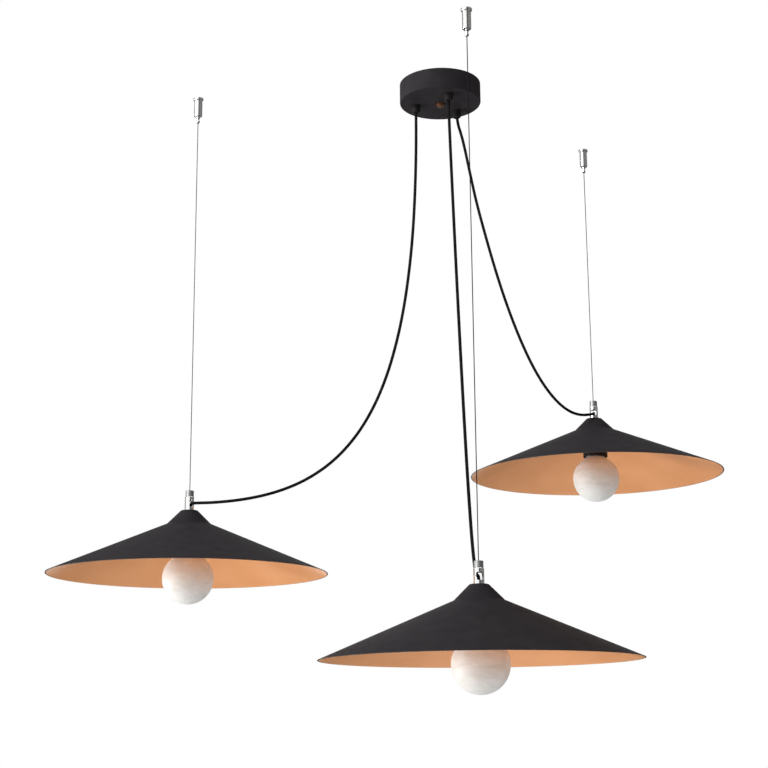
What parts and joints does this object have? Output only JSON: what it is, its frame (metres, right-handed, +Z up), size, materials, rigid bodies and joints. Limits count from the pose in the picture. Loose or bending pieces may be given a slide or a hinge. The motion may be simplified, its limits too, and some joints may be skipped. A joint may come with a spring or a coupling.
{
  "type": "pendant lamp",
  "caption": "Ceiling pendant with wide conical metal shades on steel cables, each fed by a loose round cord from a shared canopy.",
  "frame": {"origin": "centre of the round canopy on the ceiling plane, midway between the two slots of its bracket", "axes": "+Z up into the ceiling; +X towards the lamp with the shortest cable, across the picture; +Y away from the camera"},
  "size_m": [1.118, 0.994, 0.9971],
  "materials": {
    "shade_paint": "matte",
    "canopy_paint": "fine texture, matte",
    "copper_nut": "aged copper",
    "zinc_steel": "zinc plated",
    "cable_steel": "bright stranded",
    "plated": "polished",
    "black_plastic": "matte",
    "cord_black": "satin",
    "lead_sleeve": "satin",
    "white_plastic": "matte",
    "brass_screw": "plain",
    "socket_ceramic": "glazed",
    "opal_glass": "opal white",
    "bulb_plating": "nickel plated"
  },
  "bodies": {
    "ceiling": {"canopy_cover": "canopy_paint", "ceiling_bracket": "zinc_steel", "centre_stud": "zinc_steel", "centre_nut": "copper_nut", "terminal_block": "white_plastic", "terminal_screws": "brass_screw", "inner_leads": "lead_sleeve", "grip_lock_nuts": "black_plastic", "anchor_bases": "plated", "nose_springs": "zinc_steel", "cord_grip_left": "black_plastic", "power_cord_left": "cord_black", "anchor_barrel_left": "plated", "cord_grip_front": "black_plastic", "power_cord_front": "cord_black", "anchor_barrel_front": "plated", "cord_grip_right": "black_plastic", "power_cord_right": "cord_black", "anchor_barrel_right": "plated"},
    "nose_left": {"release_nose_left": "plated"},
    "cable_left": {"steel_cable_left": "cable_steel", "cable_ferrule_left": "cable_steel"},
    "pendant_left": {"suspension_cap_left": "plated", "suspension_tube_left": "plated", "shade_left": "shade_paint", "shade_nut_left": "zinc_steel", "holder_cap_left": "black_plastic", "holder_shell_left": "black_plastic", "holder_insert_left": "socket_ceramic"},
    "bulb_carrier_left": {"bulb_core_left": "white_plastic"},
    "bulb_left": {"bulb_globe_left": "opal_glass", "bulb_cap_left": "bulb_plating"},
    "nose_front": {"release_nose_front": "plated"},
    "cable_front": {"steel_cable_front": "cable_steel", "cable_ferrule_front": "cable_steel"},
    "pendant_front": {"suspension_cap_front": "plated", "suspension_tube_front": "plated", "shade_front": "shade_paint", "shade_nut_front": "zinc_steel", "holder_cap_front": "black_plastic", "holder_shell_front": "black_plastic", "holder_insert_front": "socket_ceramic"},
    "bulb_carrier_front": {"bulb_core_front": "white_plastic"},
    "bulb_front": {"bulb_globe_front": "opal_glass", "bulb_cap_front": "bulb_plating"},
    "nose_right": {"release_nose_right": "plated"},
    "cable_right": {"steel_cable_right": "cable_steel", "cable_ferrule_right": "cable_steel"},
    "pendant_right": {"suspension_cap_right": "plated", "suspension_tube_right": "plated", "shade_right": "shade_paint", "shade_nut_right": "zinc_steel", "holder_cap_right": "black_plastic", "holder_shell_right": "black_plastic", "holder_insert_right": "socket_ceramic"},
    "bulb_carrier_right": {"bulb_core_right": "white_plastic"},
    "bulb_right": {"bulb_globe_right": "opal_glass", "bulb_cap_right": "bulb_plating"}
  },
  "joints": [
    {"name": "nose_release_left", "type": "slide", "parent": "ceiling", "child": "nose_left", "axis": [0, 0, 1], "range_m": [0, 0.002], "stiffness_N_per_m": 500, "springref_m": -0.003, "deforming": ["nose_springs"]},
    {"name": "cable_swing_left", "type": "hinge", "parent": "ceiling", "child": "cable_left", "pos_m": [-0.405, 0.047, -0.045], "axis": [-0.1153, -0.9933, 0], "range_deg": [-6, 10], "deforming": ["steel_cable_left", "power_cord_left"]},
    {"name": "shade_turn_left", "type": "hinge", "parent": "cable_left", "child": "pendant_left", "pos_m": [-0.405, 0.047, -0.699], "axis": [0, 0, 1], "range_deg": [-15, 15]},
    {"name": "bulb_drop_left", "type": "slide", "parent": "pendant_left", "child": "bulb_carrier_left", "axis": [0, 0, -1], "range_m": [0, 0.02]},
    {"name": "bulb_unscrew_left", "type": "hinge", "parent": "bulb_carrier_left", "child": "bulb_left", "pos_m": [-0.405, 0.047, -0.807], "axis": [0, 0, -1], "range_deg": [0, 1980]},
    {"name": "nose_release_front", "type": "slide", "parent": "ceiling", "child": "nose_front", "axis": [0, 0, 1], "range_m": [0, 0.002], "stiffness_N_per_m": 500, "springref_m": -0.003, "deforming": ["nose_springs"]},
    {"name": "cable_swing_front", "type": "hinge", "parent": "ceiling", "child": "cable_front", "pos_m": [0.03, -0.266, -0.045], "axis": [0.9937, 0.1121, 0], "range_deg": [-6, 10], "deforming": ["steel_cable_front", "power_cord_front"]},
    {"name": "shade_turn_front", "type": "hinge", "parent": "cable_front", "child": "pendant_front", "pos_m": [0.03, -0.266, -0.85], "axis": [0, 0, 1], "range_deg": [-15, 15]},
    {"name": "bulb_drop_front", "type": "slide", "parent": "pendant_front", "child": "bulb_carrier_front", "axis": [0, 0, -1], "range_m": [0, 0.02]},
    {"name": "bulb_unscrew_front", "type": "hinge", "parent": "bulb_carrier_front", "child": "bulb_front", "pos_m": [0.03, -0.266, -0.958], "axis": [0, 0, -1], "range_deg": [0, 1980]},
    {"name": "nose_release_right", "type": "slide", "parent": "ceiling", "child": "nose_right", "axis": [0, 0, 1], "range_m": [0, 0.002], "stiffness_N_per_m": 500, "springref_m": -0.003, "deforming": ["nose_springs"]},
    {"name": "cable_swing_right", "type": "hinge", "parent": "ceiling", "child": "cable_right", "pos_m": [0.273, 0.288, -0.045], "axis": [-0.7258, 0.688, 0], "range_deg": [-6, 10], "deforming": ["steel_cable_right", "power_cord_right"]},
    {"name": "shade_turn_right", "type": "hinge", "parent": "cable_right", "child": "pendant_right", "pos_m": [0.273, 0.288, -0.505], "axis": [0, 0, 1], "range_deg": [-15, 15]},
    {"name": "bulb_drop_right", "type": "slide", "parent": "pendant_right", "child": "bulb_carrier_right", "axis": [0, 0, -1], "range_m": [0, 0.02]},
    {"name": "bulb_unscrew_right", "type": "hinge", "parent": "bulb_carrier_right", "child": "bulb_right", "pos_m": [0.273, 0.288, -0.613], "axis": [0, 0, -1], "range_deg": [0, 1980]}
  ],
  "couplings": [
    {"joint": "bulb_drop_left", "follows": "bulb_unscrew_left", "m_per_rad": 0.00057614},
    {"joint": "bulb_drop_front", "follows": "bulb_unscrew_front", "m_per_rad": 0.00057614},
    {"joint": "bulb_drop_right", "follows": "bulb_unscrew_right", "m_per_rad": 0.00057614}
  ]
}
